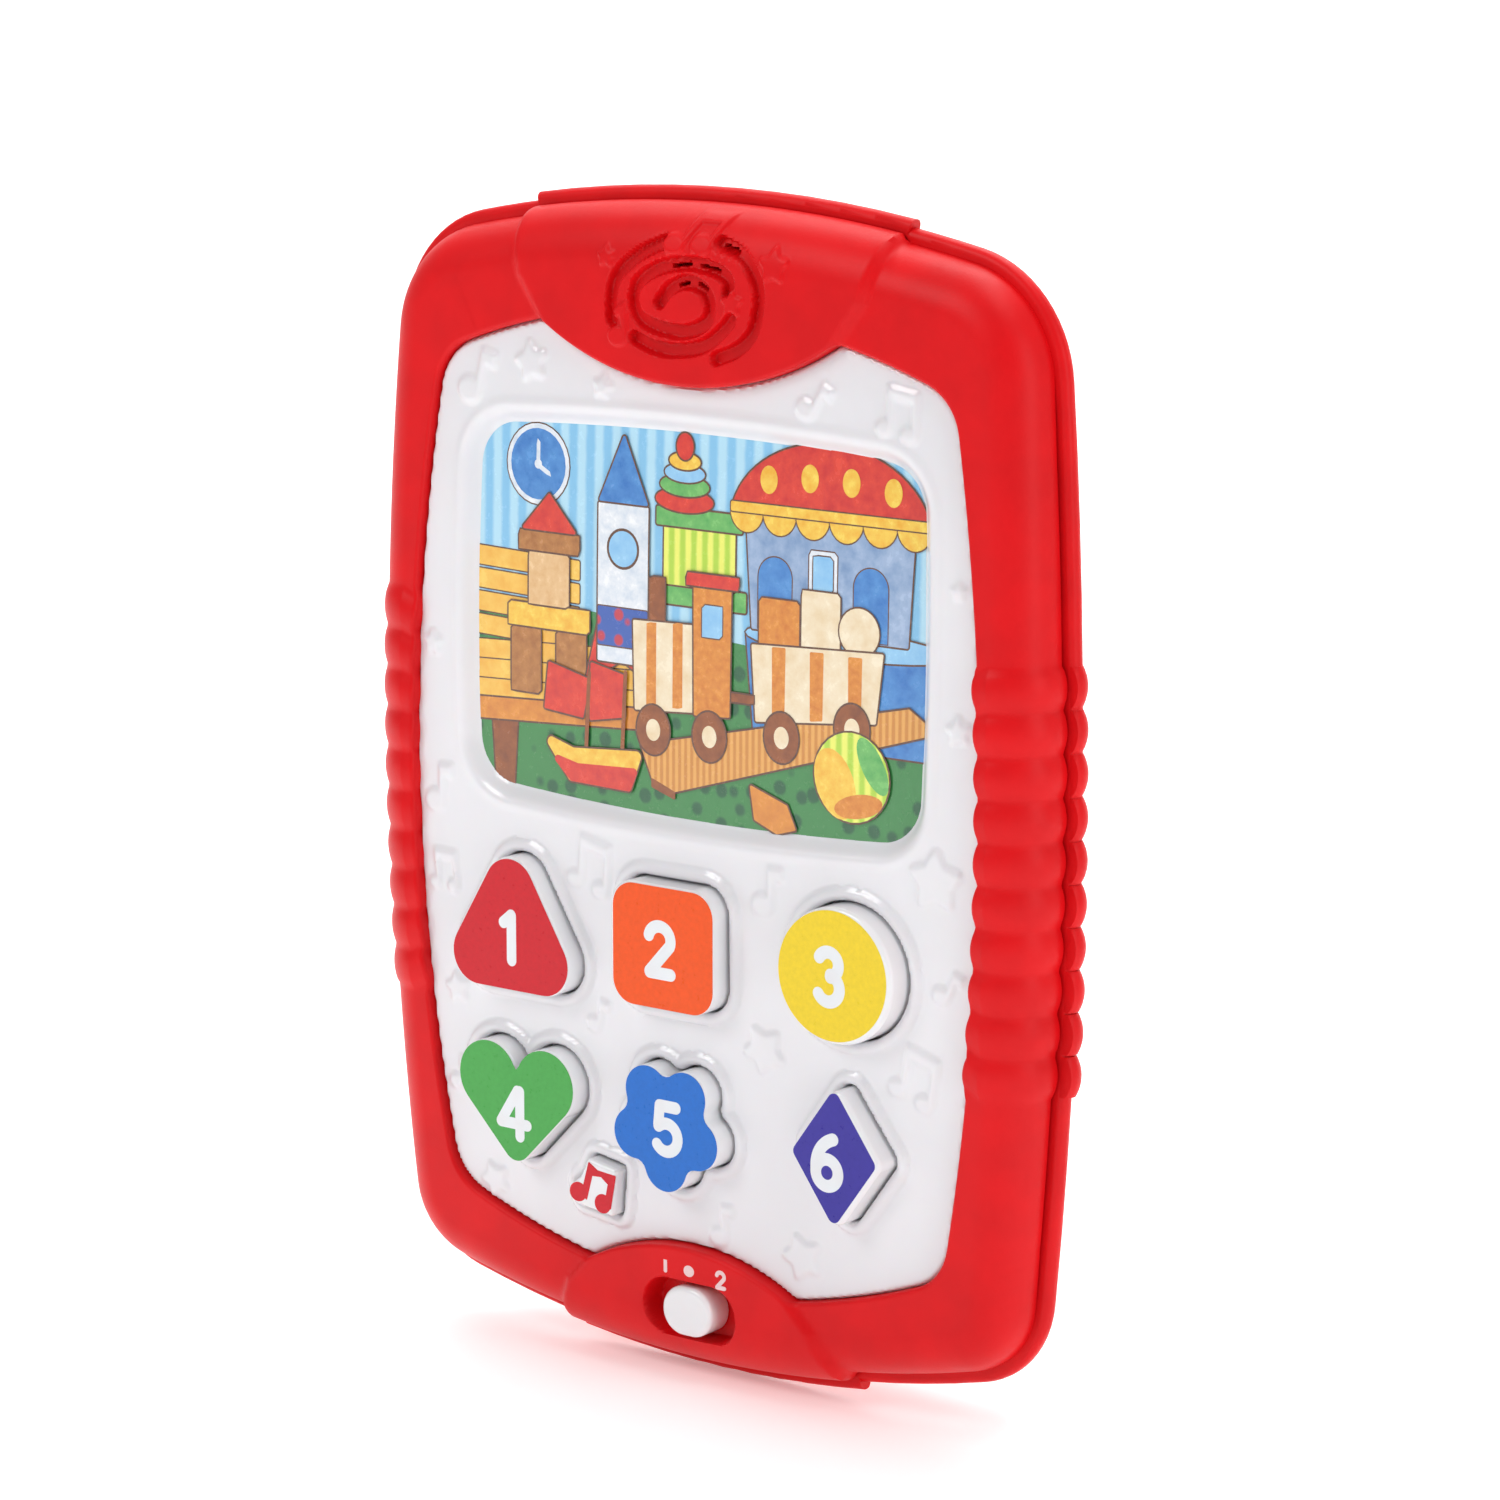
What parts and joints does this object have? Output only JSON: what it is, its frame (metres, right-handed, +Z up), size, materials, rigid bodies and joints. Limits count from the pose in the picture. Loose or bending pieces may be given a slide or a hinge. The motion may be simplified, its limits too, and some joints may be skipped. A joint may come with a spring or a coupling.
{
  "type": "toy cell phone",
  "caption": "Toy cell phone with a red case, white faceplate, picture window, shape push buttons, speaker grille, slide switch and battery door.",
  "frame": {"origin": "centre of the bounding box's bottom face, under the lower lobe", "axes": "+X to the right seen from the front, +Y to the back of the case, +Z up along its long axis"},
  "size_m": [0.125, 0.0277, 0.1736],
  "materials": {
    "red_shell": "satin moulded ABS with a fine spark-eroded texture",
    "white_shell": "glossy moulded ABS",
    "white_cap": "glossy moulded ABS with pad-printed top",
    "picture": "lenticular lens sheet over a printed picture",
    "rubber": "silicone rubber keypad",
    "board": "green solder mask",
    "resin": "black epoxy drop",
    "can": "sleeved capacitor can",
    "black_plastic": "moulded acetal",
    "plated_steel": "nickel plated steel",
    "cone": "pressed paper cone",
    "screw_steel": "zinc plated steel",
    "cell": "sleeved dry cell"
  },
  "bodies": {
    "case": {"front_shell": "red_shell", "faceplate": "white_shell", "picture_card": "picture", "keypad_membrane": "rubber", "circuit_board": "board", "sound_chip": "resin", "capacitor": "can", "switch_body": "plated_steel", "speaker_frame": "plated_steel", "speaker_cone": "cone", "speaker_magnet": "plated_steel", "speaker_screws": "screw_steel", "back_shell": "red_shell", "case_screws": "screw_steel", "board_screws": "screw_steel", "battery_1": "cell", "battery_plate_1": "plated_steel", "battery_spring_1": "plated_steel", "battery_2": "cell", "battery_plate_2": "plated_steel", "battery_spring_2": "plated_steel", "battery_3": "cell", "battery_plate_3": "plated_steel", "battery_spring_3": "plated_steel"},
    "button_triangle": {"button_triangle": "white_cap"},
    "button_square": {"button_square": "white_cap"},
    "button_circle": {"button_circle": "white_cap"},
    "button_heart": {"button_heart": "white_cap"},
    "button_flower": {"button_flower": "white_cap"},
    "button_diamond": {"button_diamond": "white_cap"},
    "button_note": {"button_note": "white_cap"},
    "mode_switch": {"switch_knob": "white_cap", "switch_lever": "black_plastic"},
    "door": {"battery_door": "red_shell", "door_screw": "screw_steel"}
  },
  "joints": [
    {"name": "triangle_press", "type": "slide", "parent": "case", "child": "button_triangle", "axis": [0, 1, 0], "range_m": [0, 0.0018], "stiffness_N_per_m": 400, "springref_m": -0.001},
    {"name": "square_press", "type": "slide", "parent": "case", "child": "button_square", "axis": [0, 1, 0], "range_m": [0, 0.0018], "stiffness_N_per_m": 400, "springref_m": -0.001},
    {"name": "circle_press", "type": "slide", "parent": "case", "child": "button_circle", "axis": [0, 1, 0], "range_m": [0, 0.0018], "stiffness_N_per_m": 400, "springref_m": -0.001},
    {"name": "heart_press", "type": "slide", "parent": "case", "child": "button_heart", "axis": [0, 1, 0], "range_m": [0, 0.0018], "stiffness_N_per_m": 400, "springref_m": -0.001},
    {"name": "flower_press", "type": "slide", "parent": "case", "child": "button_flower", "axis": [0, 1, 0], "range_m": [0, 0.0018], "stiffness_N_per_m": 400, "springref_m": -0.001},
    {"name": "diamond_press", "type": "slide", "parent": "case", "child": "button_diamond", "axis": [0, 1, 0], "range_m": [0, 0.0018], "stiffness_N_per_m": 400, "springref_m": -0.001},
    {"name": "note_press", "type": "slide", "parent": "case", "child": "button_note", "axis": [0, 1, 0], "range_m": [0, 0.0015], "stiffness_N_per_m": 400, "springref_m": -0.001},
    {"name": "mode_slide", "type": "slide", "parent": "case", "child": "mode_switch", "axis": [1, 0, 0], "range_m": [-0.0032, 0.0032]},
    {"name": "door_hinge", "type": "hinge", "parent": "case", "child": "door", "pos_m": [0, 0.01301, 0.09848], "axis": [-1, 0, 0], "range_deg": [0, 75]}
  ]
}
